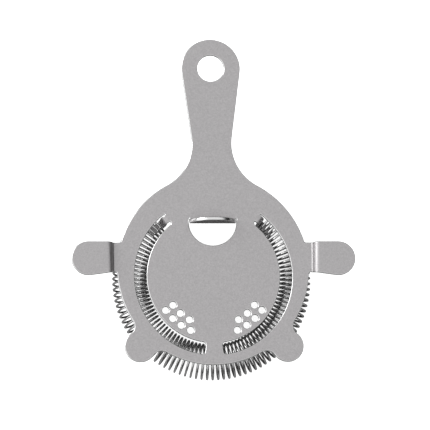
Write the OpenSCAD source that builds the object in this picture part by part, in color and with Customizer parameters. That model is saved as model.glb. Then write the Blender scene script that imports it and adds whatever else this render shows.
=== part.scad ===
// Hawthorne strainer: one stamped and bent steel sheet, and one long coil spring hooked under it.
// Millimetres, +Z up, +Y towards the handle. The origin is on the axis of the spring's ring,
// on the surface that the strainer lies on.

/* [Sheet] */
// Thickness of the steel sheet
sheet_t = 1.5; // [1:0.1:1.8]
// Inside radius of every bend in the sheet
bend_r = 0.9; // [0.3:0.1:1.2]

/* [Round plate] */
// Diameter of the round plate
disc_d = 79; // [70:1:96]
// Distance from the centre of the slots to the centre of the round plate, towards the handle
disc_offset = 2.9; // [0:0.1:4]

/* [Handle] */
// Distance from the centre of the round plate to the centre of the handle's round end
handle_reach = 83.9; // [75:0.1:110]
// Width of the handle's round end
handle_end_w = 24.4; // [20:0.1:30]
// Angle that each side of the handle leans out towards the round end, in degrees
side_angle = 7.7; // [4:0.1:8.5]
// Radius of the shoulders between the handle and the round plate
shoulder_r = 20; // [12:0.5:24]
// Diameter of the hanging hole in the handle's round end
hang_hole_d = 11; // [6:0.1:13]

/* [Side prongs] */
// How far each prong's tip stands out from the edge of the round plate
prong_reach = 18.9; // [14:0.1:24]
// Width of each prong's round tip
prong_tip_w = 14; // [12:0.1:18]
// Width of each prong where it leaves the plate
prong_root_w = 12.2; // [10:0.1:14]
// Distance from the centre of the round plate to the prongs' tips, towards the handle
prong_y = 4.1; // [2:0.1:8]
// Distance from the edge of the round plate to the step in each prong
step_gap = 0.9; // [0.8:0.1:2]
// Height of the upright part of the step, between its two bends
step_leg = 0.2; // [0.1:0.1:3]
// Radius of the corners where the prongs leave the plate
prong_fillet = 0.8; // [0.4:0.1:1]

/* [Front ears] */
// Diameter of each ear
ear_d = 13; // [10:0.1:16]
// Distance from the edge of the round plate out to the centre of each ear
ear_out = 4.4; // [2:0.1:6]
// Angle of each ear from the front of the plate, in degrees
ear_angle = 43.6; // [36:0.1:52]
// Radius of the hollows on both sides of each ear
ear_fillet = 4; // [2:0.1:6]

/* [Slots] */
// Width of the two curved slots
slot_w = 5; // [4:0.1:6]
// Width of the rim between the slots and the front edge of the plate
rim_w = 4.1; // [3:0.1:6]
// Angle from the front to the front end of each slot, in degrees
slot_front_angle = 7; // [5:0.5:15]
// Angle from the front to the handle end of each slot, in degrees
slot_back_angle = 142.5; // [130:0.5:148]

/* [Thumb tab] */
// Width of the half-moon thumb tab and of the opening it leaves
tab_w = 19.8; // [14:0.1:24]
// Distance from the inner edge of the slots, measured on the centre line, to the tab's bend
tab_inset = 3.3; // [1:0.1:6]
// Angle that the tab is bent up through, in degrees
tab_angle = 90; // [84:1:110]
// How far the round part of the tab runs up into its bend
tab_round = 1; // [0:0.1:1]

/* [Drain holes] */
// Diameter of the drain holes
drain_d = 3; // [2:0.1:3.2]
// Number of holes in the outer row of each group
drain_outer_count = 4; // [2:1:4]
// Number of holes in the inner row of each group
drain_inner_count = 3; // [2:1:3]
// Distance from the slots' inner edge to the outer row of holes
drain_inset = 3.2; // [2.5:0.1:5]
// Distance between the two rows of holes
drain_row_gap = 3.7; // [3.6:0.1:5]
// Angle from the front to the first hole of the outer row, in degrees
drain_outer_angle = 23.3; // [18:0.1:26]
// Angle from the front to the first hole of the inner row, in degrees
drain_inner_angle = 29.4; // [26:0.1:34]
// Angle from the front to the last hole of both rows, in degrees
drain_last_angle = 54.6; // [54:0.1:70]

/* [Spring] */
// Diameter of the spring's wire
wire_d = 0.9; // [0.7:0.05:1]
// Outside diameter of the coil
coil_d = 15; // [12.5:0.1:18]
// Number of turns
turns = 84; // [60:1:104]
// How far the middle of the coil lies outside the middle of the slots
coil_shift = 3.6; // [3:0.1:5]
// Distance from the spring ring's centre to the centre of the slots, towards the handle
ring_offset = 0.9; // [0:0.1:2]
// Gap between the coil and the sheet above it
spring_gap = 0.25; // [0.2:0.05:1]

/* [Spring tongues] */
// Width of the two tongues that hold the ends of the spring
tongue_w = 3.4; // [2.4:0.1:3.8]
// Length of each tongue's finger, inside the coil
finger_len = 5; // [3:0.1:8]
// Clearance between a tongue and the wire, and between a tongue and the slot's outer side
tongue_clear = 0.3; // [0.2:0.05:0.5]

/* [Hidden] */
$fn = 96;
cut = 1;                                   // how far a cutting tool runs past the sheet
root = 1;                                  // how far each bent part is drawn back into the sheet
tongue_start = 0.1;                        // from the slot's end to the tongue's bend
seam = 0.005;                              // arcs overlap what they touch by this much
tab_gap = 0.15;                            // between the tab and the sides of its opening
far = 200;                                 // larger than the strainer
wire_sides = 6;
steps_per_turn = 10;

disc_r = disc_d / 2;
slots_y = ring_offset;                     // centre of the slots
disc_y = slots_y + disc_offset;            // centre of the round plate
under_z = coil_d + spring_gap;             // underside of the sheet

slot_out_r = disc_r - disc_offset - rim_w;
slot_in_r = slot_out_r - slot_w;
slot_mid_r = (slot_out_r + slot_in_r) / 2;

// Each side of the handle is a straight line that touches the round end and the shoulder.
end_r = handle_end_w / 2;
side_out = [cos(side_angle), -sin(side_angle)];
side_up = [sin(side_angle), cos(side_angle)];
side_top = [0, handle_reach] + (end_r - seam) * side_out;
shoulder_out = side_top * side_out + shoulder_r;
shoulder_up = sqrt(pow(disc_r + shoulder_r, 2) - pow(shoulder_out, 2));
shoulder_c = shoulder_out * side_out + shoulder_up * side_up;
side_bottom = shoulder_c - shoulder_r * side_out;

step_x = disc_r + step_gap;
step_run = 2 * bend_r + sheet_t;
step_rise = sheet_t + 2 * bend_r + step_leg;
prong_tip_r = prong_tip_w / 2;
prong_tip = [disc_r + prong_reach - prong_tip_r, prong_y];
prong_top_y = prong_y + prong_tip_r;
prong_bottom_y = prong_top_y - prong_root_w;

ear_r = ear_d / 2;

tab_r = tab_w / 2;
tab_bend_y = slots_y + slot_in_r - tab_inset;
tab_bend_len = tab_angle * PI / 180 * (bend_r + sheet_t / 2);
tab_straight = tab_bend_len - tab_round;   // length of the tab's parallel sides

ring_r = slot_mid_r + coil_shift;
coil_z = coil_d / 2;
coil_r = (coil_d - wire_d) / 2;            // radius of the wire's own centre line

// A tongue hangs from the handle end of each slot, along the slot's outer side, and its finger
// runs at half the height of the coil, where the bore is widest.
tongue_r = slot_out_r - tongue_clear - tongue_w / 2;
slot_end = [tongue_r * sin(slot_back_angle), slots_y - tongue_r * cos(slot_back_angle)];
finger_drop = under_z - coil_z - sheet_t / 2;
// The first turn stands clear of the upright part of the tongue.
turn_start = tongue_start + bend_r + sheet_t + tongue_clear + wire_d / 2;
spring_half_angle = atan2(slot_end[0], -slot_end[1]) - turn_start / norm(slot_end) * 180 / PI;

// Centre of the circle of radius r that touches circles of radius ra at a and rb at b, on one side.
function touching(a, ra, b, rb, r, side) =
    let (d = norm(b - a), u = (b - a) / d, v = [-u[1], u[0]] * side)
    let (along = (pow(ra + r, 2) - pow(rb + r, 2) + d * d) / (2 * d))
    a + u * along + v * sqrt(pow(ra + r, 2) - along * along);

// Where a line from p touches the circle of radius r at c, on one side.
function tangent_point(p, c, r, side) =
    let (d = norm(c - p), a = atan2(c[1] - p[1], c[0] - p[0]) + side * asin(r / d))
    p + sqrt(d * d - r * r) * [cos(a), sin(a)];

// A shape on both sides of the centre line.
module both_sides() {
    children();
    mirror([1, 0, 0]) children();
}

// One side of the handle and its shoulder, about the centre of the round plate.
module handle_side() {
    difference() {
        polygon([[0, 0], shoulder_c, side_bottom, side_top, [0, handle_reach]]);
        translate(shoulder_c) circle(shoulder_r + seam);
    }
}

// One ear with the hollows beside it, about the centre of the round plate.
module ear() {
    c = (disc_r + ear_out) * [sin(ear_angle), -cos(ear_angle)];
    translate(c) circle(ear_r);
    for (side = [-1, 1]) {
        f = touching([0, 0], disc_r, c, ear_r, ear_fillet, side);
        difference() {
            polygon([[0, 0], c, f]);
            translate(f) circle(ear_fillet + seam);
        }
    }
}

// The corner between the round plate and one edge of a prong's root, at height y.
module root_corner(y, side) {
    fy = y + side * prong_fillet;
    f = [sqrt(pow(disc_r + prong_fillet, 2) - fy * fy), fy];
    difference() {
        polygon([[0, 0], f, [f[0], y]]);
        translate(f) circle(prong_fillet + seam);
    }
}

// Outline of one prong seen from above, from the centre line to the tip.
module prong_outline() {
    lower = [step_x, prong_bottom_y];
    touch = tangent_point(lower, prong_tip, prong_tip_r, -1);
    polygon([
        [0, prong_bottom_y], lower, touch, prong_tip,
        [prong_tip[0], prong_top_y], [0, prong_top_y]
    ]);
    translate(prong_tip) circle(prong_tip_r + seam);
}

// A quarter of a bent sheet seen on edge, about the centre of the bend.
module bend_section(from_angle) {
    intersection() {
        difference() {
            circle(bend_r + sheet_t);
            circle(bend_r);
        }
        rotate(from_angle) square(far);
    }
}

// Section of the prong's step, along X and Z from the underside of the plate.
module step_section() {
    outer_x = step_x + step_run;
    translate([step_x - root, 0]) square([root, sheet_t]);
    translate([step_x, sheet_t + bend_r]) bend_section(-90);
    translate([step_x + bend_r, sheet_t + bend_r]) square([sheet_t, step_leg]);
    translate([outer_x, step_rise - bend_r]) bend_section(90);
    translate([outer_x, step_rise]) square([far, sheet_t]);
}

// The step and the raised tip of one prong.
module prong_tip_solid() {
    intersection() {
        linear_extrude(far) prong_outline();
        translate([0, far, 0]) rotate([90, 0, 0]) linear_extrude(2 * far) step_section();
    }
}

module flat_outline() {
    circle(disc_r);
    translate([0, handle_reach]) circle(end_r);
    both_sides() {
        handle_side();
        ear();
        root_corner(prong_top_y, 1);
        root_corner(prong_bottom_y, -1);
        intersection() {
            prong_outline();
            translate([0, -far]) square([step_x, 2 * far]);
        }
    }
}

// A half-moon of radius r, with straight sides running on up to height y.
module half_moon(r, y) {
    intersection() {
        circle(r + seam);
        translate([-far, -far]) square([2 * far, far + tab_straight / 2]);
    }
    translate([-r, 0]) square([2 * r, y]);
}

// The opening that the thumb tab leaves, from the bend to the round end.
module tab_opening() {
    translate([0, tab_bend_y - tab_straight]) half_moon(tab_r, tab_straight);
}

// Section of the tab seen from the side, along X forwards from its bend and along Y upwards.
module tab_section() {
    translate([-root, 0]) square([root, sheet_t]);
    translate([0, sheet_t + bend_r]) {
        intersection() {
            difference() {
                circle(bend_r + sheet_t);
                circle(bend_r);
            }
            polygon([[0, 0], [0, -far], [far, -far], far * [sin(tab_angle), -cos(tab_angle)]]);
        }
        rotate(tab_angle) translate([0, -bend_r - sheet_t]) square([tab_w, sheet_t]);
    }
}

// The half-moon tab, bent up. Its outline is cut square to the tab's own face.
module thumb_tab() {
    translate([0, tab_bend_y, 0]) intersection() {
        rotate([90, 0, -90]) translate([0, 0, -tab_w]) linear_extrude(2 * tab_w) tab_section();
        translate([0, 0, sheet_t + bend_r]) rotate([-tab_angle, 0, 0])
            translate([0, tab_round, -far]) linear_extrude(2 * far) half_moon(tab_r - tab_gap, far);
    }
}

// One tongue about the slot's end: bent down, then forward along +X into the coil.
module tongue() {
    leg = finger_drop - 2 * bend_r;
    rotate([90, 0, 0]) translate([0, 0, -tongue_w / 2]) linear_extrude(tongue_w) {
        translate([-root, 0]) square([root + tongue_start, sheet_t]);
        translate([tongue_start, 0]) {
            translate([0, -bend_r]) bend_section(0);
            translate([bend_r, -bend_r - leg]) square([sheet_t, leg]);
            translate([2 * bend_r + sheet_t, -bend_r - leg]) bend_section(180);
            translate([2 * bend_r + sheet_t, -finger_drop - sheet_t]) square([finger_len, sheet_t]);
        }
    }
}

module drain_row(count, r, first_angle) {
    for (i = [0 : count - 1]) {
        a = first_angle + (drain_last_angle - first_angle) * i / (count - 1);
        translate([r * sin(a), slots_y - r * cos(a), -cut]) cylinder(d = drain_d, h = sheet_t + 2 * cut);
    }
}

// The stamped sheet: round plate, handle, prongs, ears, thumb tab and tongues in one piece.
module plate() {
    color("silver") translate([0, 0, under_z]) {
        difference() {
            translate([0, disc_y, 0]) linear_extrude(sheet_t) flat_outline();
            translate([0, 0, -cut]) linear_extrude(sheet_t + 2 * cut) tab_opening();
            translate([0, disc_y + handle_reach, -cut]) cylinder(d = hang_hole_d, h = sheet_t + 2 * cut);
            both_sides() {
                translate([0, slots_y, -cut]) rotate(slot_front_angle - 90)
                    rotate_extrude(angle = slot_back_angle - slot_front_angle)
                    translate([slot_in_r, 0]) square([slot_w, sheet_t + 2 * cut]);
                drain_row(drain_outer_count, slot_in_r - drain_inset, drain_outer_angle);
                drain_row(drain_inner_count, slot_in_r - drain_inset - drain_row_gap, drain_inner_angle);
            }
        }
        thumb_tab();
        both_sides() {
            translate([0, disc_y, 0]) prong_tip_solid();
            translate(slot_end) rotate(slot_back_angle - 180) tongue();
        }
    }
}

// Point i of the wire's own centre line, with the directions across it. The wire starts at the
// right-hand tongue and ends at the left-hand one.
function wire_point(i) =
    let (share = i / (turns * steps_per_turn))
    let (a = spring_half_angle * (1 - 2 * share), p = 360 * i / steps_per_turn)
    let (outward = [sin(a), -cos(a), 0], around = [cos(a), sin(a), 0])
    let (n = outward * cos(p) + [0, 0, sin(p)])
    let (turn_speed = coil_r * 360 * turns, ring_speed = (ring_r + coil_r * cos(p)) * -2 * spring_half_angle)
    let (t = turn_speed * ([0, 0, cos(p)] - outward * sin(p)) + ring_speed * around)
    [outward * ring_r + [0, 0, coil_z] + n * coil_r, n, cross(t, n) / norm(t)];

// The coil spring, one wire wound along most of a circle. Its section has the wire's own area.
module spring() {
    last = turns * steps_per_turn;
    r = wire_d / 2 * sqrt(2 * PI / (wire_sides * sin(360 / wire_sides)));
    points = [
        for (i = [0 : last], w = [wire_point(i)], k = [0 : wire_sides - 1])
            w[0] + r * (w[1] * cos(360 * k / wire_sides) + w[2] * sin(360 * k / wire_sides))
    ];
    faces = [
        [for (k = [0 : wire_sides - 1]) k],
        [for (k = [wire_sides - 1 : -1 : 0]) last * wire_sides + k],
        for (i = [0 : last - 1], k = [0 : wire_sides - 1], half = [0, 1])
            let (a = i * wire_sides, b = a + wire_sides, next = (k + 1) % wire_sides)
            half == 0 ? [a + k, b + k, a + next] : [a + next, b + k, b + next]
    ];
    color("gainsboro") polyhedron(points, faces);
}

plate();
spring();
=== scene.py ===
# %% [markdown]
# # A hawthorne strainer
#
# A hawthorne strainer is a bar tool that sits on a shaker tin and holds back the ice. The real
# one has two pieces: a stamped and bent steel sheet, and one long coil spring that is hooked
# under it. The CAD model already gives both their size and their place. This script makes the
# versions that are seen, with rolled edges, round wire and real finishes.
#
# The first step loads that frame. Everything after it is in metres, with +Z up out of the
# sheet and +Y towards the handle. The box of the CAD model is kept, to be printed beside the
# seen model's box at the end. The box of the CAD model is kept, because the seen model has to
# stay inside it.

# %% Load the frame
import math

import bmesh
import bpy
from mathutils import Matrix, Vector


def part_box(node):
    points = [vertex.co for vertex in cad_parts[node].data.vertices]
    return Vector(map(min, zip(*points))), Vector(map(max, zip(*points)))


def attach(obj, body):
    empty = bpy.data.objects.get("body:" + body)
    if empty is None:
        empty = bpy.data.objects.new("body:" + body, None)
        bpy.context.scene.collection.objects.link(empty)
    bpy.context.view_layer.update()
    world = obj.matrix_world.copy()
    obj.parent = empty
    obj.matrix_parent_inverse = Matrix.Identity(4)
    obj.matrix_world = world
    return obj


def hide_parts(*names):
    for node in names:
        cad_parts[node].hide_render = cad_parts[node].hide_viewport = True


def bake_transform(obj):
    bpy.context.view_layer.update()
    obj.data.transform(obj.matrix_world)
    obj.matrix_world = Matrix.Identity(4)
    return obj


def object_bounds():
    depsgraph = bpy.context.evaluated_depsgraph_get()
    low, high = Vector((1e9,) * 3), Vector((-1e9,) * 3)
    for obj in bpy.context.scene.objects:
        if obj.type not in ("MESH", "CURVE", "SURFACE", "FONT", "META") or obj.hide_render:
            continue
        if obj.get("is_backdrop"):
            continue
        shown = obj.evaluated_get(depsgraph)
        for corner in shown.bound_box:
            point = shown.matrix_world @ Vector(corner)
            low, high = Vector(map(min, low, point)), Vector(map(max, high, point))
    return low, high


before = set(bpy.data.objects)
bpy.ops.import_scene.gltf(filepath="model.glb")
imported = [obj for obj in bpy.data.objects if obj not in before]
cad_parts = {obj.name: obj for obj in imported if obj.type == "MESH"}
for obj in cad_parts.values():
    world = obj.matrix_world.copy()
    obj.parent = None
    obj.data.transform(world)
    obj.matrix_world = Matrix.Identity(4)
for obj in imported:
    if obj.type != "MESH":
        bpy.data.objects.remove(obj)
cad_low, cad_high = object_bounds()
MM = 0.001
print("CAD box, mm:", [round(v / MM, 1) for v in (*cad_low, *cad_high)])

# %% [markdown]
# ## The sizes of the sheet
#
# A sheet-metal part is drawn flat first, as it is stamped, and bent afterwards. So the
# drawing needs the sizes of the flat outline and of the bends. They are the same sizes as in
# the CAD source, in millimetres, about the centre of the spring's ring. The boxes of the two
# CAD parts are read from the frame and printed beside them.

# %% Sizes of the sheet and the spring
sheet_t = 1.5
bend_r = 0.9
edge_r = 0.4

spring_low, spring_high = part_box("spring")
plate_low, plate_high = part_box("plate")
wire_d = 0.9
coil_d = 15
turns = 84
spring_gap = 0.25
under_z = coil_d + spring_gap
ring_r = 33.6

slots_y = 0.9
slot_in_r = 27.5
slot_w = 5
slot_out_r = slot_in_r + slot_w
slot_mid_r = slot_in_r + slot_w / 2
slot_front = math.radians(7)
slot_back = math.radians(142.5)
slot_corner_r = 1.0

disc_r = 39.5
disc_c = Vector((0, 3.8))

print("spring box, mm:", [round(v / MM, 2) for v in (*spring_low, *spring_high)])
print("plate box, mm:", [round(v / MM, 2) for v in (*plate_low, *plate_high)])

# %% [markdown]
# ## Drawing with arcs
#
# Stamping tools are ground from straight lines and arcs that run smoothly into each other, so
# the outline is drawn in the same way. A Bezier curve could be pushed into this shape by
# eye, but arcs keep every radius true. Each arc is turned into short straight steps, because
# a mesh has only straight edges. Two helpers do the geometry: one finds the circle that
# touches two others, which is how a smooth corner is drawn, and one walks along an arc.

# %% Arc helpers
point_step = 0.55


def angle_to(centre, point):
    """Direction of point from centre."""
    return math.atan2(point.y - centre.y, point.x - centre.x)


def on_circle(centre, radius, angle):
    """The point of a circle in a direction."""
    return centre + radius * Vector((math.cos(angle), math.sin(angle)))


def arc(centre, radius, start, end, turn):
    """Points along an arc. turn is 1 for anticlockwise and -1 for clockwise."""
    sweep = (end - start) * turn % (2 * math.pi)
    steps = max(3, math.ceil(sweep * radius / point_step))
    return [on_circle(centre, radius, start + turn * sweep * i / steps) for i in range(steps + 1)]


def touching(a, ra, b, rb, r, side):
    """Centre of a circle of radius r that touches circles of radius ra at a and rb at b."""
    d = (b - a).length
    u = (b - a) / d
    v = Vector((-u.y, u.x)) * side
    along = ((ra + r) ** 2 - (rb + r) ** 2 + d * d) / (2 * d)
    return a + u * along + v * math.sqrt((ra + r) ** 2 - along * along)


def line(a, b):
    """Points along a straight line, without its two ends."""
    steps = max(1, math.ceil((b - a).length / point_step))
    return [a.lerp(b, i / steps) for i in range(1, steps)]


test = touching(Vector((0, 0)), 5, Vector((9, 0)), 3, 2, 1)
print("a touching circle sits at", [round(v, 2) for v in test])

# %% [markdown]
# ## The outer outline
#
# One walk goes down the right side: round the end of the handle, down its leaning side, round
# the shoulder, along the round plate, out and back along the side prong, round the front ear
# and to the front. The left side is its mirror image. A prong will be stepped up later, and
# the step uses more sheet than it covers, so the flat prong is drawn longer by that much.

# %% The folds, as lengths of flat sheet
neutral_r = bend_r + sheet_t / 2
quarter = math.pi / 2 * neutral_r
step_leg = 0.2
step_fold = [(quarter, math.pi / 2), (step_leg, 0), (quarter, -math.pi / 2)]
step_extra = 2 * quarter + step_leg - 2 * neutral_r
print("a prong is cut", round(step_extra, 2), "mm longer than it ends up")

# %% Sizes of the outline
handle_end_r = 12.2
handle_end_c = disc_c + Vector((0, 83.9))
side_lean = math.radians(7.7)
shoulder_r = 20
prong_root_w = 12.2
prong_tip_r = 7
prong_corner_r = 0.8
prong_reach = 18.9
prong_up = 4.1
step_out = 0.9
step_x = disc_r + step_out
prong_tip_x = disc_r + prong_reach - prong_tip_r + step_extra
prong_tip_c = disc_c + Vector((prong_tip_x, prong_up))
prong_top_y = prong_tip_c.y + prong_tip_r
prong_bottom_y = prong_top_y - prong_root_w
ear_r = 6.5
ear_out = 4.4
ear_way = math.radians(43.6 - 90)
ear_c = on_circle(disc_c, disc_r + ear_out, ear_way)
ear_corner_r = 4
print("a prong ends", round(prong_reach, 1), "mm outside the round plate")

# %% Walk down the right side
side_out = Vector((math.cos(side_lean), -math.sin(side_lean)))
side_up = Vector((math.sin(side_lean), math.cos(side_lean)))
side_top = handle_end_c + handle_end_r * side_out
shoulder_x = (side_top - disc_c).dot(side_out) + shoulder_r
shoulder_y = math.sqrt((disc_r + shoulder_r) ** 2 - shoulder_x**2)
shoulder_c = disc_c + shoulder_x * side_out + shoulder_y * side_up
side_bottom = shoulder_c - shoulder_r * side_out


def root_corner_centre(y):
    """Centre of the small hollow corner between the round plate and a prong, at height y."""
    return Vector((math.sqrt((disc_r + prong_corner_r) ** 2 - (y - disc_c.y) ** 2), y))


upper_corner = root_corner_centre(prong_top_y + prong_corner_r)
lower_corner = root_corner_centre(prong_bottom_y - prong_corner_r)
root = Vector((step_x, prong_bottom_y))
to_tip = prong_tip_c - root
slope = math.atan2(to_tip.y, to_tip.x) - math.asin(prong_tip_r / to_tip.length)
ear_back = touching(disc_c, disc_r, ear_c, ear_r, ear_corner_r, 1)
ear_front = touching(disc_c, disc_r, ear_c, ear_r, ear_corner_r, -1)

right_side = [
    *arc(handle_end_c, handle_end_r, math.pi / 2, -side_lean, -1),
    *line(side_top, side_bottom),
    *arc(shoulder_c, shoulder_r, math.pi - side_lean, angle_to(shoulder_c, disc_c), 1),
    *arc(disc_c, disc_r, angle_to(disc_c, shoulder_c), angle_to(disc_c, upper_corner), -1)[1:],
    *arc(upper_corner, prong_corner_r, angle_to(upper_corner, disc_c), 1.5 * math.pi, 1)[1:],
    *line(Vector((upper_corner.x, prong_top_y)), Vector((prong_tip_c.x, prong_top_y))),
    *arc(prong_tip_c, prong_tip_r, math.pi / 2, slope - math.pi / 2, -1),
    *line(on_circle(prong_tip_c, prong_tip_r, slope - math.pi / 2), root),
    *arc(lower_corner, prong_corner_r, math.pi / 2, angle_to(lower_corner, disc_c), 1),
    *arc(disc_c, disc_r, angle_to(disc_c, lower_corner), angle_to(disc_c, ear_back), -1)[1:],
    *arc(ear_back, ear_corner_r, angle_to(ear_back, disc_c), angle_to(ear_back, ear_c), 1)[1:],
    *arc(ear_c, ear_r, angle_to(ear_c, ear_back), angle_to(ear_c, ear_front), -1)[1:],
    *arc(ear_front, ear_corner_r, angle_to(ear_front, ear_c), angle_to(ear_front, disc_c), 1)[1:],
    *arc(disc_c, disc_r, angle_to(disc_c, ear_front), -math.pi / 2, -1)[1:],
]
left_side = [Vector((-p.x, p.y)) for p in reversed(right_side[1:-1])]
outline = right_side + left_side
print("outer outline:", len(outline), "points")

# %% [markdown]
# ## The holes
#
# There are four kinds of hole: the round hanging hole, the round drain holes, the two curved
# slots, and a narrow cut round the half-moon thumb tab. The tab itself stays in the drawing,
# because it is the same sheet, and is bent up afterwards, which opens the half-moon.
#
# Each slot also has a tongue that reaches into it from the handle end. It is bent down later,
# into the coil, and holds the end of the spring. A curved slot with rounded corners is
# easiest to draw straight and then to curve: the corners are rounded on the straight
# drawing, and each point is moved to its place round the ring.

# %% Drain holes and hanging hole
drain_r = 1.5
hang_r = 5.5
outer_row_in = 3.2
inner_row_in = 6.9
outer_row_from = 23.3
inner_row_from = 29.4
rows_to = 54.6
full_turn = 2 * math.pi - 1e-9


def circle(centre, radius):
    """A whole circle as a closed loop of points."""
    return arc(centre, radius, 0, full_turn, 1)[:-1]


def drain_row(count, radius, first, last):
    """The holes of one row, on both sides of the centre line, from one angle to another."""
    holes = []
    for i in range(count):
        a = math.radians(first + (last - first) * i / (count - 1))
        for side in (-1, 1):
            centre = Vector((side * radius * math.sin(a), slots_y - radius * math.cos(a)))
            holes.append(circle(centre, drain_r))
    return holes


outer_row = drain_row(4, slot_in_r - outer_row_in, outer_row_from, rows_to)
inner_row = drain_row(3, slot_in_r - inner_row_in, inner_row_from, rows_to)
drains = outer_row + inner_row
hanging_hole = circle(handle_end_c, hang_r)
print("drain holes:", len(drains))

# %% A slot, drawn straight and then curved
tongue_w = 3.4
tongue_gap = 0.3
tongue_leg = under_z - coil_d / 2 - sheet_t / 2 - 2 * bend_r
tongue_finger = 5
tongue_flat = 0.1
tongue_fold = [
    (tongue_flat, 0), (quarter, -math.pi / 2), (tongue_leg, 0), (quarter, math.pi / 2)
]
tongue_len = tongue_flat + 2 * quarter + tongue_leg + tongue_finger
tongue_r = slot_out_r - tongue_gap - tongue_w / 2
slot_len = (slot_back - slot_front) * slot_mid_r


def rounded(corners):
    """A closed loop through corners given as (x, y, radius), with round corners."""
    points = []
    for i, (x, y, r) in enumerate(corners):
        here = Vector((x, y))
        before = (Vector(corners[i - 1][:2]) - here).normalized()
        after = (Vector(corners[(i + 1) % len(corners)][:2]) - here).normalized()
        half = before.angle(after) / 2
        centre = here + (before + after).normalized() * r / math.sin(half)
        start = here + before * r / math.tan(half)
        end = here + after * r / math.tan(half)
        turn = 1 if before.x * after.y - before.y * after.x < 0 else -1
        bend = arc(centre, r, angle_to(centre, start), angle_to(centre, end), turn)
        if points:
            points += line(points[-1], bend[0])
        points += bend
    return points + line(points[-1], points[0])


low, high = -slot_w / 2, slot_w / 2
tongue_mid = tongue_r - slot_mid_r
gap_r = tongue_gap / 2.05  # just under half the gap, so that both of its corners fit
straight_slot = rounded(
    [
        (0, low, slot_corner_r),
        (slot_len, low, slot_corner_r),
        (slot_len, high, slot_corner_r),
        (0, high, gap_r),
        (0, tongue_mid + tongue_w / 2, gap_r),
        (tongue_len, tongue_mid + tongue_w / 2, slot_corner_r),
        (tongue_len, tongue_mid - tongue_w / 2, slot_corner_r),
        (0, tongue_mid - tongue_w / 2, gap_r),
    ]
)


def curved(p, side):
    """A point of the straight slot, moved to its place round the ring of slots."""
    a = slot_back - p.x / slot_mid_r
    r = slot_mid_r + p.y
    return Vector((side * r * math.sin(a), slots_y - r * math.cos(a)))


slots = [[curved(p, side) for p in straight_slot] for side in (-1, 1)]
print("slot:", len(straight_slot), "points;", "tongue is cut", round(tongue_len, 1), "mm long")

# %% The cut round the thumb tab
tab_r = 9.9
tab_angle = math.radians(90)
tab_cut = 0.25
tab_round = 1.0
tab_inset = 3.3
tab_bend_y = slots_y + slot_in_r - tab_inset
tab_fold = [(tab_angle * neutral_r, tab_angle)]
tab_c = Vector((0, tab_bend_y - tab_fold[0][0] + tab_round))
cut_r = tab_cut / 2
cut_end = Vector((tab_r - cut_r, tab_bend_y - cut_r))
mirror_end = Vector((-cut_end.x, cut_end.y))

tab_slit = [
    *arc(tab_c, tab_r, math.pi, 2 * math.pi, 1),
    *line(Vector((tab_r, tab_c.y)), Vector((tab_r, cut_end.y))),
    *arc(cut_end, cut_r, 0, math.pi, 1),
    *line(Vector((tab_r - tab_cut, cut_end.y)), Vector((tab_r - tab_cut, tab_c.y))),
    *arc(tab_c, tab_r - tab_cut, 2 * math.pi, math.pi, -1),
    *line(Vector((tab_cut - tab_r, tab_c.y)), Vector((tab_cut - tab_r, cut_end.y))),
    *arc(mirror_end, cut_r, 0, math.pi, 1),
    *line(Vector((-tab_r, cut_end.y)), Vector((-tab_r, tab_c.y))),
]
print("cut round the tab:", len(tab_slit), "points")

# %% [markdown]
# ## From drawing to sheet
#
# The parts are tumbled after stamping, which rolls every edge over. That thin round edge
# catches the light and is most of what makes sheet steel look real. A Bevel modifier can round
# edges, but on a flat face full of long triangles it slips. Here each loop of the drawing
# is lofted through a short profile instead: in from the edge and over the corner, on both
# sides. The two flat faces are then filled between the innermost rings.
#
# The mesh also gets an attribute named rolled, 1 on the edges and 0 on the flat faces. The
# material reads it later, to polish only the edges and to paint a highlight on them.

# %% Loft the edges and fill the faces
roll_steps = 4
quarter_turns = [math.pi / 2 * i / roll_steps for i in range(roll_steps + 1)]
upper_roll = [
    (edge_r * (1 - math.sin(a)), sheet_t / 2 - edge_r * (1 - math.cos(a))) for a in quarter_turns
]
edge_profile = upper_roll + [(inset, -z) for inset, z in reversed(upper_roll)]


def signed_area(loop):
    """Area of a loop: above zero when it runs anticlockwise."""
    pairs = zip(loop, loop[1:] + loop[:1])
    return sum(a.x * b.y - a.y * b.x for a, b in pairs) / 2


def into_metal(loop):
    """For each point of a loop with the metal on its left, the way into the metal."""
    ways = []
    for i, p in enumerate(loop):
        before = (p - loop[i - 1]).normalized()
        after = (loop[(i + 1) % len(loop)] - p).normalized()
        way = Vector((-before.y - after.y, before.x + after.x)) / 2
        ways.append(way / max(way.length_squared, 0.5))
    return ways


def loft_loop(bm, loop):
    """The rolled edge along one loop. Returns the edges of its top and bottom rings."""
    ways = into_metal(loop)
    rings = []
    for inset, z in edge_profile:
        rings.append([bm.verts.new((*(p + w * inset), z)) for p, w in zip(loop, ways)])
    count = len(loop)
    for upper, under in zip(rings, rings[1:]):
        for i in range(count):
            j = (i + 1) % count
            bm.faces.new((upper[i], under[i], under[j], upper[j]))
    bm.edges.index_update()
    ends = []
    for ring in (rings[0], rings[-1]):
        ends.append([bm.edges.get((ring[i], ring[(i + 1) % count])) for i in range(count)])
    return ends


sheet = bmesh.new()
outer_way = 1 if signed_area(outline) > 0 else -1
loops = [outline[::outer_way]]
for hole in [hanging_hole, tab_slit, *slots, *drains]:
    loops.append(hole[::-1] if signed_area(hole) > 0 else hole)
top_edges, bottom_edges = [], []
for loop in loops:
    top, bottom = loft_loop(sheet, loop)
    top_edges += top
    bottom_edges += bottom
for edges in (top_edges, bottom_edges):
    bmesh.ops.triangle_fill(sheet, use_beauty=True, use_dissolve=False, edges=edges)
bmesh.ops.recalc_face_normals(sheet, faces=sheet.faces[:])
open_edges = sum(1 for e in sheet.edges if len(e.link_faces) != 2)
print("flat sheet:", len(sheet.verts), "points,", open_edges, "open edges")

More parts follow.
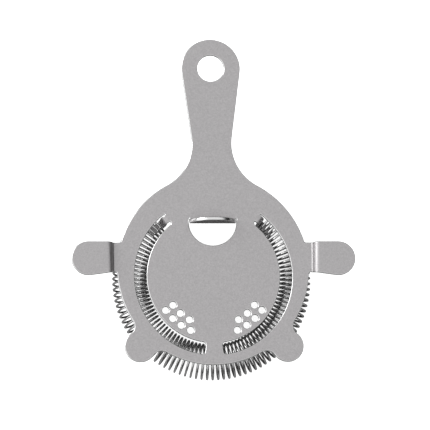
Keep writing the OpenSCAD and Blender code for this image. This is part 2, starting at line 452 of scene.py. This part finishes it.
# %% Mark the rolled edges
rolled = sheet.verts.layers.float.new("rolled")
flat_z = sheet_t / 2 - 1e-6
for v in sheet.verts:
    v[rolled] = 0.0 if abs(v.co.z) > flat_z else 1.0
print("rolled points:", sum(1 for v in sheet.verts if v[rolled] > 0.5))

# %% [markdown]
# ## Bending
#
# A press brake rolls a strip of the sheet round a radius and leaves the rest straight. The
# fold helper does the same to a point: it takes the distance past the bend line and the
# height in the sheet, walks along the bends, and gives the new place. The middle of
# the sheet keeps its length, the outside stretches and the inside is squeezed, as in real
# metal. A mesh only bends at its edges, so each bend first gets a row of cuts across it.

# %% Fold helpers
cuts_per_bend = 8
tiny = 1e-4


def fold(s, h, moves):
    """Where a point s past the bend line and h above mid-sheet goes, as (along, up)."""
    along, up, heading = 0.0, 0.0, 0.0
    for length, turn in moves:
        part = min(s, length)
        if turn:
            r = length / turn
            new = heading + part / r
            along += r * (math.sin(new) - math.sin(heading))
            up += r * (math.cos(heading) - math.cos(new))
            heading = new
        else:
            along += part * math.cos(heading)
            up += part * math.sin(heading)
        s -= part
    along += s * math.cos(heading)
    up += s * math.sin(heading)
    return along - h * math.sin(heading), up + h * math.cos(heading)


def cut_places(moves):
    """Distances past the bend line where the sheet needs an edge to bend at."""
    places, start = [0.0], 0.0
    for length, turn in moves:
        count = cuts_per_bend if turn else 1
        places += [start + length * (i + 1) / count for i in range(count)]
        start += length
    return places


def cut(bm, inside, point, normal):
    """Cuts the faces whose points pass the inside test, along a plane."""
    faces = [f for f in bm.faces if all(inside(v.co) for v in f.verts)]
    geom = {e for f in faces for e in f.edges} | {v for f in faces for v in f.verts}
    bmesh.ops.bisect_plane(bm, geom=[*geom, *faces], plane_co=point, plane_no=normal, dist=1e-5)


print("a quarter bend needs", len(cut_places(step_fold[:1])), "edges")

# %% Step the side prongs up
prong_zone_x = disc_r - 3

for side in (-1, 1):
    for place in cut_places(step_fold):
        x = side * (step_x + place)
        cut(sheet, lambda co: co.x * side > prong_zone_x, (x, 0, 0), (1, 0, 0))
for v in sheet.verts:
    past = abs(v.co.x) - step_x
    if past > 0:
        along, up = fold(past, v.co.z, step_fold)
        v.co.x = math.copysign(step_x + along, v.co.x)
        v.co.z = up
print("prongs are up to", round(max(v.co.z for v in sheet.verts), 2), "mm above mid-sheet")

# %% Bend the tongues down into the coil
end_way = Vector((math.sin(slot_back), -math.cos(slot_back)))
finger_way = Vector((end_way.y, -end_way.x))
end_zone_along = 6
end_zone_across = 8


def round_ring(co, side):
    """A point as (distance past the slot's end, distance out from the tongue's middle)."""
    p = Vector((co.x * side, co.y - slots_y))
    a = math.atan2(p.x, -p.y)
    return (slot_back - a) * slot_mid_r, p.length - tongue_r


def on_tongue(co, side, margin=0.05):
    """Whether a point of the flat sheet is on the tongue, give or take the margin."""
    s, w = round_ring(co, side)
    return -margin < s < tongue_len + margin and abs(w) < tongue_w / 2 + margin


def near_slot_end(co, side):
    """Whether a point of the flat sheet is close enough to be cut along the slot's end."""
    s, w = round_ring(co, side)
    return abs(s) < end_zone_along and abs(w) < end_zone_across and co.x * side > 0


for side in (-1, 1):
    end_line = (side * end_way.y, -end_way.x, 0)
    cut(sheet, lambda co: near_slot_end(co, side), (0, slots_y, 0), end_line)
    for place in cut_places(tongue_fold)[1:]:
        a = slot_back - place / slot_mid_r
        across = (side * math.cos(a), math.sin(a), 0)
        cut(sheet, lambda co: on_tongue(co, side), (0, slots_y, 0), across)
    for v in sheet.verts:
        s, w = round_ring(v.co, side)
        if s > tiny and on_tongue(v.co, side) and v.co.x * side > 0:
            along, up = fold(s, v.co.z, tongue_fold)
            p = end_way * (tongue_r + w) + finger_way * along
            v.co = (side * p.x, slots_y + p.y, up)
print("tongues reach", round(min(v.co.z for v in sheet.verts), 2), "mm below mid-sheet")

# %% Bend the thumb tab up
tab_half = tab_r - cut_r
tab_zone_x = 40
tab_zone_y = 60


def on_tab(co):
    """Whether a point of the flat sheet is on the tab."""
    from_middle = Vector((co.x, min(co.y, tab_c.y))) - tab_c
    return co.y < tab_bend_y + tiny and from_middle.length < tab_half


def near_tab_bend(co):
    """Whether a point of the flat sheet is close enough to be cut along the tab's bend."""
    return abs(co.x) < tab_zone_x and abs(co.y - tab_bend_y) < tab_zone_y


cut(sheet, near_tab_bend, (0, tab_bend_y, 0), (0, 1, 0))
for place in cut_places(tab_fold)[1:]:
    cut(sheet, on_tab, (0, tab_bend_y - place, 0), (0, 1, 0))
for v in sheet.verts:
    if on_tab(v.co) and abs(v.co.x) < tab_half:
        along, up = fold(tab_bend_y - v.co.y, v.co.z, tab_fold)
        v.co.y = tab_bend_y - along
        v.co.z = up
print("the tab stands", round(max(v.co.z for v in sheet.verts), 2), "mm above mid-sheet")

# %% [markdown]
# ## The finished sheet
#
# The bent sheet is lifted to its height and turned into metres. It replaces the CAD
# plate, which is hidden. The rolled edges are shaded smooth, and a Weighted
# Normal modifier keeps the large faces looking flat: without it, the smooth shading would
# bleed from the edges far into the long triangles of the flat faces.

# %% Make the plate object
mid_z = under_z + sheet_t / 2
for v in sheet.verts:
    v.co = Vector((v.co.x, v.co.y, v.co.z + mid_z)) * MM
for f in sheet.faces:
    f.smooth = True
plate_mesh = bpy.data.meshes.new("strainer_plate")
sheet.to_mesh(plate_mesh)
sheet.free()
plate = bpy.data.objects.new("strainer_plate", plate_mesh)
bpy.context.collection.objects.link(plate)
flat_normals = plate.modifiers.new("flat_faces", "WEIGHTED_NORMAL")
flat_normals.weight = 100
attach(plate, "plate")
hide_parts("plate")
print("plate:", len(plate_mesh.polygons), "faces")

# %% [markdown]
# ## The spring
#
# The spring is one wire wound round and round while it also travels round the ring. A curve
# with a round bevel would do, but a swept tube lets the mesh carry UVs, with U along
# the wire. Drawn wire has fine lines along its length, and the UVs keep them there.
# The ends stop just in front of the tongues. The last bit of wire is rounded off.

# %% Sweep the wire
steps_per_turn = 30
wire_sides = 12
coil_r = (coil_d - wire_d) / 2
slot_end = Vector((tongue_r * math.sin(slot_back), slots_y - tongue_r * math.cos(slot_back)))
first_turn = tongue_flat + bend_r + sheet_t + tongue_gap + wire_d / 2
half_sweep = math.atan2(slot_end.x, -slot_end.y) - first_turn / slot_end.length


def wire_point(share):
    """The wire's middle at a share of its length, with the way along it and the way out."""
    a = half_sweep * (1 - 2 * share)
    p = 2 * math.pi * turns * share
    outward = Vector((math.sin(a), -math.cos(a), 0))
    around = Vector((math.cos(a), math.sin(a), 0))
    out = outward * math.cos(p) + Vector((0, 0, math.sin(p)))
    wind = Vector((0, 0, math.cos(p))) - outward * math.sin(p)
    travel = (ring_r + coil_r * math.cos(p)) * -2 * half_sweep
    along = wind * coil_r * 2 * math.pi * turns + around * travel
    middle = outward * ring_r + Vector((0, 0, coil_d / 2)) + out * coil_r
    return middle, along.normalized(), out


wire = bmesh.new()
wire_uv = wire.loops.layers.uv.new("along_wire")
total = turns * steps_per_turn
end_rounding = [(0.10, 0.35), (0.04, 0.8)]
stations = [(0, back, size) for back, size in end_rounding]
stations += [(i, 0, 1.0) for i in range(total + 1)]
stations += [(total, -back, size) for back, size in reversed(end_rounding)]
rings = []
for i, back, size in stations:
    middle, along, out = wire_point(i / total)
    across = along.cross(out).normalized()
    out = across.cross(along)
    middle = middle - along * back * wire_d
    ring = []
    for k in range(wire_sides):
        b = 2 * math.pi * k / wire_sides
        offset = (out * math.cos(b) + across * math.sin(b)) * wire_d / 2 * size
        ring.append(wire.verts.new((middle + offset) * MM))
    rings.append(ring)
for i, (first, second) in enumerate(zip(rings, rings[1:])):
    for k in range(wire_sides):
        n = (k + 1) % wire_sides
        f = wire.faces.new((first[k], first[n], second[n], second[k]))
        f.smooth = True
        corners = ((i, k), (i, k + 1), (i + 1, k + 1), (i + 1, k))
        for corner, (u, v) in zip(f.loops, corners):
            corner[wire_uv].uv = (u / steps_per_turn, v / wire_sides)
wire.faces.new(rings[0][::-1])
wire.faces.new(rings[-1])
bmesh.ops.recalc_face_normals(wire, faces=wire.faces[:])
wire_mesh = bpy.data.meshes.new("strainer_spring")
wire.to_mesh(wire_mesh)
wire.free()
spring = bpy.data.objects.new("strainer_spring", wire_mesh)
bpy.context.collection.objects.link(spring)
print("spring:", len(wire_mesh.polygons), "faces")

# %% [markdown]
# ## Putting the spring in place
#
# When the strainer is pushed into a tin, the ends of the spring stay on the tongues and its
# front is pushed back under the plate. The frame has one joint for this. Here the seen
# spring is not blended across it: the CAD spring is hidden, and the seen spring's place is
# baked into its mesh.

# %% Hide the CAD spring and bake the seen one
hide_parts("spring")
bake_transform(spring)

# %% [markdown]
# ## Finishes as shared effects
#
# Both pieces are the same steel with different surfaces, so the effects are shader node groups
# with named inputs and outputs. Each is built once and placed, with its own values, in the
# materials that use it. The groups put out only masks and heights. The shader stays in the
# material.

# %% A helper for node groups
def new_group(name, inputs, outputs):
    """An empty shader node group with named float sockets. inputs is {name: default}."""
    tree = bpy.data.node_groups.new(name, "ShaderNodeTree")
    for label, value in inputs.items():
        socket = tree.interface.new_socket(label, in_out="INPUT", socket_type="NodeSocketFloat")
        socket.default_value = value
    for label in outputs:
        tree.interface.new_socket(label, in_out="OUTPUT", socket_type="NodeSocketFloat")
    return tree, tree.nodes.new("NodeGroupInput"), tree.nodes.new("NodeGroupOutput")


def math_node(tree, operation, a, b):
    """A Math node. a and b are sockets or numbers. Returns its output."""
    node = tree.nodes.new("ShaderNodeMath")
    node.operation = operation
    for socket, value in zip(node.inputs, (a, b)):
        if isinstance(value, (int, float)):
            socket.default_value = value
        else:
            tree.links.new(value, socket)
    return node.outputs[0]


def noise(tree, vector, scale, detail=2.0, roughness=0.5):
    """A Noise Texture fed by a vector. scale is a socket or a number."""
    node = tree.nodes.new("ShaderNodeTexNoise")
    node.inputs["Detail"].default_value = detail
    node.inputs["Roughness"].default_value = roughness
    tree.links.new(vector, node.inputs["Vector"])
    if isinstance(scale, (int, float)):
        node.inputs["Scale"].default_value = scale
    else:
        tree.links.new(scale, node.inputs["Scale"])
    return node.outputs["Fac"]


print("helpers: new_group, math_node, noise")

# %% [markdown]
# ### Blasted grain
#
# The sheet is blasted with fine glass beads, which leaves thousands of tiny dents. Seen
# from arm's length they only blur the reflection, but close up they sparkle. The group makes
# a fine height for bump and a slow cloud that says where the blasting was a little heavier.

# %% Group: blasted grain
grain, grain_in, grain_out = new_group(
    "blasted_grain", {"Grain size mm": 0.25, "Cloud size mm": 14.0}, ["Height", "Cloud"]
)
place = grain.nodes.new("ShaderNodeTexCoord").outputs["Object"]
grain_scale = math_node(grain, "DIVIDE", 1 / MM, grain_in.outputs["Grain size mm"])
cloud_scale = math_node(grain, "DIVIDE", 1 / MM, grain_in.outputs["Cloud size mm"])
fine = noise(grain, place, grain_scale, detail=3.0, roughness=0.65)
slow = noise(grain, place, cloud_scale, detail=2.0)
grain.links.new(fine, grain_out.inputs["Height"])
grain.links.new(slow, grain_out.inputs["Cloud"])
print("group:", grain.name)

# %% [markdown]
# ### Handling marks
#
# Steel in daily use picks up hair-fine scratches. A noise that is stretched a hundred times in
# one direction turns into streaks, and only its brightest crests are kept. Two layers that
# run in different directions look like use. One layer would look like brushing.

# %% Group: handling marks
marks, marks_in, marks_out = new_group(
    "handling_marks", {"Length mm": 9.0, "Width mm": 0.09, "Amount": 0.5}, ["Mask"]
)
place = marks.nodes.new("ShaderNodeTexCoord").outputs["Object"]
crest_low = 0.70
crest_high = 0.80
layers = []
for turn_deg in (24, -51):
    turned = marks.nodes.new("ShaderNodeVectorRotate")
    turned.rotation_type = "Z_AXIS"
    turned.inputs["Angle"].default_value = math.radians(turn_deg)
    marks.links.new(place, turned.inputs["Vector"])
    stretch = marks.nodes.new("ShaderNodeCombineXYZ")
    along_scale = math_node(marks, "DIVIDE", 1 / MM, marks_in.outputs["Length mm"])
    across_scale = math_node(marks, "DIVIDE", 1 / MM, marks_in.outputs["Width mm"])
    marks.links.new(along_scale, stretch.inputs["X"])
    marks.links.new(across_scale, stretch.inputs["Y"])
    marks.links.new(along_scale, stretch.inputs["Z"])
    scaled = marks.nodes.new("ShaderNodeVectorMath")
    scaled.operation = "MULTIPLY"
    marks.links.new(turned.outputs["Vector"], scaled.inputs[0])
    marks.links.new(stretch.outputs["Vector"], scaled.inputs[1])
    streaks = noise(marks, scaled.outputs["Vector"], 1.0, detail=0.0)
    crest = marks.nodes.new("ShaderNodeMapRange")
    crest.inputs["From Min"].default_value = crest_low
    crest.inputs["From Max"].default_value = crest_high
    marks.links.new(streaks, crest.inputs["Value"])
    layers.append(crest.outputs["Result"])
both = math_node(marks, "MAXIMUM", layers[0], layers[1])
mask = math_node(marks, "MULTIPLY", both, marks_in.outputs["Amount"])
marks.links.new(mask, marks_out.inputs["Mask"])
print("group:", marks.name)

# %% [markdown]
# ### Satin sheet
#
# Now the shader. Steel is metallic, so its colour is the colour of its reflection. The group
# masks vary that colour by a few percent, and the roughness by more. The rolled edges
# are smoother than the faces, because tumbling polishes what sticks out, and they are
# given a lighter colour as a painted highlight.

# %% Material: satin sheet
def new_material(name, metallic_ior):
    """A material with a Principled BSDF, ready to wire. Returns (material, tree, shader)."""
    material = bpy.data.materials.new(name)
    material.use_nodes = True
    tree = material.node_tree
    shader = tree.nodes["Principled BSDF"]
    shader.inputs["Metallic"].default_value = 1.0
    shader.inputs["IOR"].default_value = metallic_ior
    return material, tree, shader


def place_group(tree, group, **values):
    """A group node in a material, with its input values set by name."""
    node = tree.nodes.new("ShaderNodeGroup")
    node.node_tree = group
    for label, value in values.items():
        node.inputs[label.replace("_", " ")].default_value = value
    return node


def mix_colour(tree, fac, a, b):
    """Mixes two colours by a mask. a is a colour or a socket."""
    node = tree.nodes.new("ShaderNodeMix")
    node.data_type = "RGBA"
    tree.links.new(fac, node.inputs["Factor"])
    if isinstance(a, tuple):
        node.inputs["A"].default_value = (*a, 1)
    else:
        tree.links.new(a, node.inputs["A"])
    node.inputs["B"].default_value = (*b, 1)
    return node.outputs["Result"]


def map_range(tree, value, low, high):
    """Maps a mask from 0..1 to low..high."""
    node = tree.nodes.new("ShaderNodeMapRange")
    node.inputs["To Min"].default_value = low
    node.inputs["To Max"].default_value = high
    tree.links.new(value, node.inputs["Value"])
    return node.outputs["Result"]


steel_ior = 2.5
face_dark, face_light = (0.430, 0.419, 0.424), (0.475, 0.463, 0.469)
dent_dark, dent_light = (0.18, 0.176, 0.178), (0.73, 0.712, 0.721)
# Painted highlight: a lighter colour for the rolled edges, so they show as bright lines.
painted_edge_highlight = (0.74, 0.74, 0.74)
dent_share = 0.5
edge_polish = 0.24
mark_polish = 0.14
dent_strength = 0.35
dent_depth = 0.02 * MM

satin, tree, shader = new_material("blasted_sheet", steel_ior)
grain_node = place_group(tree, grain, Grain_size_mm=0.55, Cloud_size_mm=15.0)
mark_node = place_group(tree, marks, Length_mm=9.0, Width_mm=0.08, Amount=0.35)
edge = tree.nodes.new("ShaderNodeAttribute")
edge.attribute_name = "rolled"
face_colour = mix_colour(tree, grain_node.outputs["Cloud"], face_dark, face_light)
speckled = mix_colour(tree, grain_node.outputs["Height"], dent_dark, dent_light)
blend_in = tree.nodes.new("ShaderNodeMix")
blend_in.data_type = "RGBA"
blend_in.inputs["Factor"].default_value = dent_share
tree.links.new(face_colour, blend_in.inputs["A"])
tree.links.new(speckled, blend_in.inputs["B"])
# Painted highlight: the rolled edges get the lighter colour on top of the face colour.
with_edge_highlight = mix_colour(tree, edge.outputs["Fac"], blend_in.outputs["Result"], painted_edge_highlight)
tree.links.new(with_edge_highlight, shader.inputs["Base Color"])
face_rough = map_range(tree, grain_node.outputs["Cloud"], 0.40, 0.50)
edge_drop = math_node(tree, "MULTIPLY", edge.outputs["Fac"], edge_polish)
mark_drop = math_node(tree, "MULTIPLY", mark_node.outputs["Mask"], mark_polish)
smoother = math_node(tree, "SUBTRACT", face_rough, edge_drop)
roughness = math_node(tree, "SUBTRACT", smoother, mark_drop)
tree.links.new(roughness, shader.inputs["Roughness"])
bump = tree.nodes.new("ShaderNodeBump")
bump.inputs["Strength"].default_value = dent_strength
bump.inputs["Distance"].default_value = dent_depth
tree.links.new(grain_node.outputs["Height"], bump.inputs["Height"])
tree.links.new(bump.outputs["Normal"], shader.inputs["Normal"])
plate_mesh.materials.append(satin)
print("material:", satin.name)

# %% [markdown]
# ### Drawn wire
#
# Wire is pulled through a hard die, which leaves it bright, with fine lines along it. The
# UVs run along the wire, so a noise that is squeezed across it gives those lines. The
# same grain group adds a faint unevenness, with a smaller grain.

# %% Material: drawn wire
wire_dark, wire_light = (0.38, 0.38, 0.38), (0.66, 0.66, 0.66)
lines_along = 0.8
lines_across = 26.0
line_strength = 0.25
line_depth = 0.01 * MM

drawn, tree, shader = new_material("drawn_wire", steel_ior)
uv = tree.nodes.new("ShaderNodeUVMap")
uv.uv_map = "along_wire"
lines_scale = tree.nodes.new("ShaderNodeVectorMath")
lines_scale.operation = "MULTIPLY"
lines_scale.inputs[1].default_value = (lines_along, lines_across, 1.0)
tree.links.new(uv.outputs["UV"], lines_scale.inputs[0])
draw_lines = noise(tree, lines_scale.outputs["Vector"], 1.0, detail=3.0)
grain_node = place_group(tree, grain, Grain_size_mm=0.15, Cloud_size_mm=5.0)
wire_colour = mix_colour(tree, draw_lines, wire_dark, wire_light)
tree.links.new(wire_colour, shader.inputs["Base Color"])
line_rough = map_range(tree, draw_lines, 0.10, 0.24)
cloud_rough = math_node(tree, "MULTIPLY", grain_node.outputs["Cloud"], 0.10)
wire_rough = math_node(tree, "ADD", line_rough, cloud_rough)
tree.links.new(wire_rough, shader.inputs["Roughness"])
bump = tree.nodes.new("ShaderNodeBump")
bump.inputs["Strength"].default_value = line_strength
bump.inputs["Distance"].default_value = line_depth
tree.links.new(draw_lines, bump.inputs["Height"])
tree.links.new(bump.outputs["Normal"], shader.inputs["Normal"])
wire_mesh.materials.append(drawn)
print("material:", drawn.name)

# %% [markdown]
# ## Floor and light
#
# The strainer is shown on a white light table: a pale floor that also glows, so hardly any
# shadow is left. The glow is only for the camera. What the steel mirrors, and what lights it
# from below, is a plain mid grey floor, because a wire that mirrors white from below loses its
# dark side. A soft sky lights the sheet from above and keeps its flat face an even middle grey.
# The sky is also bright low on the left, like a lit wall, so that a bend which leans to the
# left picks up a white line. One small lamp on the same side adds a little direction.

# %% Floor
floor_half = 1.5
floor_pale = 0.86
floor_glow = 0.85
floor_mirrored = 0.42
floor_mesh = bpy.data.meshes.new("floor")
corners = [(x * floor_half, y * floor_half, 0) for x, y in ((-1, -1), (1, -1), (1, 1), (-1, 1))]
floor_mesh.from_pydata(corners, [], [(0, 1, 2, 3)])
floor = bpy.data.objects.new("floor", floor_mesh)
bpy.context.collection.objects.link(floor)
floor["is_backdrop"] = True
floor_white, tree, shader = new_material("floor_white", 1.45)
shader.inputs["Metallic"].default_value = 0.0
shader.inputs["Base Color"].default_value = (floor_pale, floor_pale, floor_pale, 1)
shader.inputs["Roughness"].default_value = 0.8
shader.inputs["Emission Color"].default_value = (1, 1, 1, 1)
shader.inputs["Emission Strength"].default_value = floor_glow
mirrored = tree.nodes.new("ShaderNodeBsdfDiffuse")
mirrored.inputs["Color"].default_value = (floor_mirrored, floor_mirrored, floor_mirrored, 1)
choose = tree.nodes.new("ShaderNodeMixShader")
light_path = tree.nodes.new("ShaderNodeLightPath")
tree.links.new(light_path.outputs["Is Camera Ray"], choose.inputs["Fac"])
tree.links.new(mirrored.outputs["BSDF"], choose.inputs[1])
tree.links.new(shader.outputs["BSDF"], choose.inputs[2])
tree.links.new(choose.outputs["Shader"], tree.nodes["Material Output"].inputs["Surface"])
floor_mesh.materials.append(floor_white)
print("floor:", 2 * floor_half, "m square")

# %% Sky and lamp
scene = bpy.context.scene
scene.view_settings.view_transform = "Standard"
world = bpy.data.worlds.new("studio")
world.use_nodes = True
scene.world = world
sky = world.node_tree
sky_place = sky.nodes.new("ShaderNodeTexCoord")
direction = sky.nodes.new("ShaderNodeSeparateXYZ")
sky.links.new(sky_place.outputs["Generated"], direction.inputs[0])


def ramp(value, start, end, low, high):
    """Turns part of a direction's range into a brightness."""
    node = sky.nodes.new("ShaderNodeMapRange")
    node.interpolation_type = "SMOOTHSTEP"
    node.inputs["From Min"].default_value = start
    node.inputs["From Max"].default_value = end
    node.inputs["To Min"].default_value = low
    node.inputs["To Max"].default_value = high
    sky.links.new(value, node.inputs["Value"])
    return node.outputs["Result"]


horizon_light = 0.02
overhead_light = 0.97
wall_light = 1.5
overhead = ramp(direction.outputs["Z"], 0.40, 0.80, horizon_light, overhead_light)
left_wall = ramp(direction.outputs["X"], -0.90, -0.45, wall_light, 0.0)
brightness = math_node(sky, "ADD", overhead, left_wall)
sky.links.new(brightness, sky.nodes["Background"].inputs["Strength"])
sky.nodes["Background"].inputs["Color"].default_value = (1, 1, 1, 1)


strainer_middle = Vector((0, 0.02, 0))


def soft_lamp(name, place, size, watts):
    """A square area lamp at a place in metres, pointing at the strainer."""
    data = bpy.data.lights.new(name, "AREA")
    data.size = size
    data.energy = watts
    lamp = bpy.data.objects.new(name, data)
    lamp.location = place
    aim = strainer_middle - Vector(place)
    lamp.rotation_euler = aim.to_track_quat("-Z", "Y").to_euler()
    bpy.context.collection.objects.link(lamp)


soft_lamp("left_lamp", (-0.9, 0.5, 0.5), 0.6, 5)

# %% [markdown]
# ## Camera
#
# The camera looks down almost straight, from a little to the left and in front, with a long
# lens from well back, which keeps the round plate round. It is tipped by less than a degree.

# %% Camera
camera_left = math.radians(5.5)
camera_front = math.radians(9)
camera_roll = math.radians(0.82)
camera_distance = 1.5
view_width = 176.88 * MM
aim_at = Vector((1.0, 26.3, 16.75)) * MM

to_camera = Vector((-math.tan(camera_left), -math.tan(camera_front), 1)).normalized()
camera_data = bpy.data.cameras.new("camera")
camera_data.sensor_width = 36
camera_data.lens = camera_data.sensor_width * camera_distance / view_width
camera = bpy.data.objects.new("camera", camera_data)
bpy.context.collection.objects.link(camera)
camera.location = aim_at + to_camera * camera_distance
up = (Vector((0, 1, 0)) - to_camera * to_camera.y).normalized()
right = up.cross(to_camera)
tipped_right = right * math.cos(camera_roll) - up * math.sin(camera_roll)
tipped_up = up * math.cos(camera_roll) + right * math.sin(camera_roll)
turned = camera.matrix_world.to_3x3()
turned.col[0] = tipped_right
turned.col[1] = tipped_up
turned.col[2] = to_camera
camera.rotation_euler = turned.to_euler()
scene.camera = camera
print("lens:", round(camera_data.lens), "mm")

# %% [markdown]
# ## Print the size and finish
#
# The sizes of the seen model and of the CAD model's box are printed. The seen model has
# to keep to the box of the CAD model.

# %% Print the sizes and finish
seen_low, seen_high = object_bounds()
sizes = {"cad": [list(cad_low), list(cad_high)], "seen": [list(seen_low), list(seen_high)]}
for name, (low_corner, high_corner) in sizes.items():
    print(name, [round((b - a) / MM, 1) for a, b in zip(low_corner, high_corner)], "mm")
